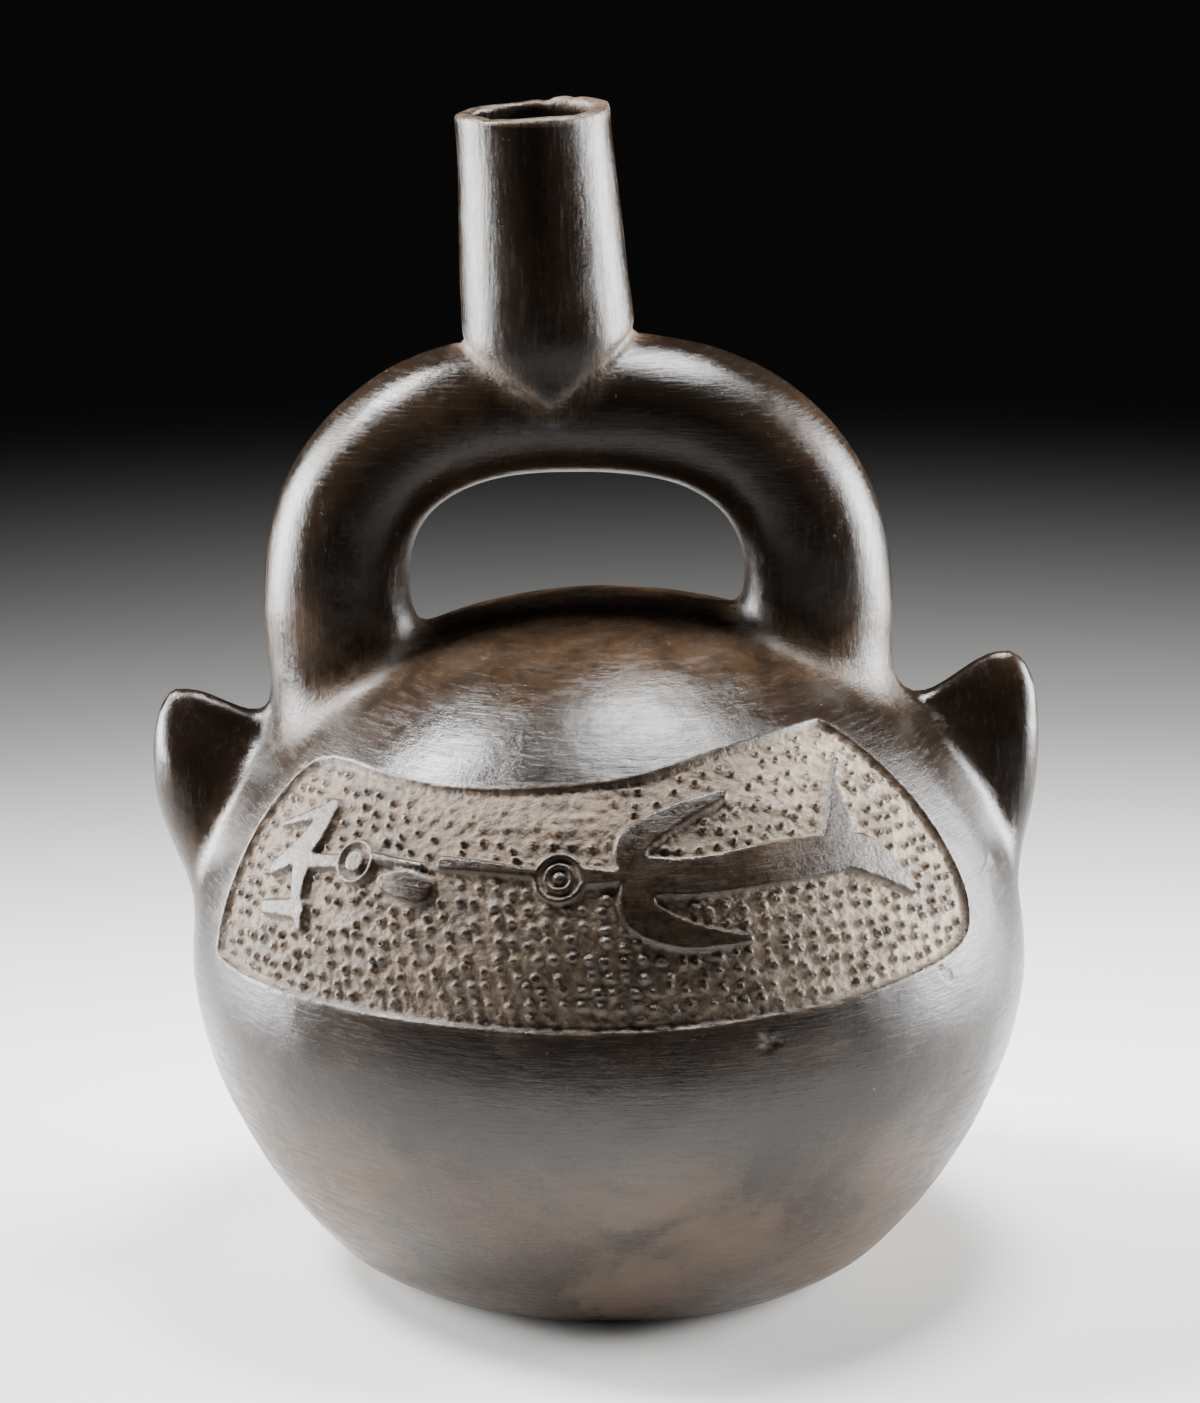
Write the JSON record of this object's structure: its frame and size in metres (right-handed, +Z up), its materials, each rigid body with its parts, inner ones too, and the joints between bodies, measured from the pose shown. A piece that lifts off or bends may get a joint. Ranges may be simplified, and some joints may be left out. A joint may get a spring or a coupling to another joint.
{
  "type": "stirrup spout vessel",
  "caption": "Hollow round-bodied clay bottle with a tubular stirrup handle that opens into a short spout, ear-like side lugs and sunken relief panels",
  "frame": {"origin": "middle of the flat underside that the vessel rests on", "axes": "+Z up the vessel, X along the plane of the stirrup handle and lugs, -Y the front panel that the picture shows"},
  "size_m": [0.1593, 0.1504, 0.2103],
  "materials": {
    "burnished_clay": "dark brown-black fired clay, burnished to a soft gloss, with buff earth left in the relief ground and joints"
  },
  "bodies": {
    "root": {"vessel": "burnished_clay"}
  },
  "joints": []
}
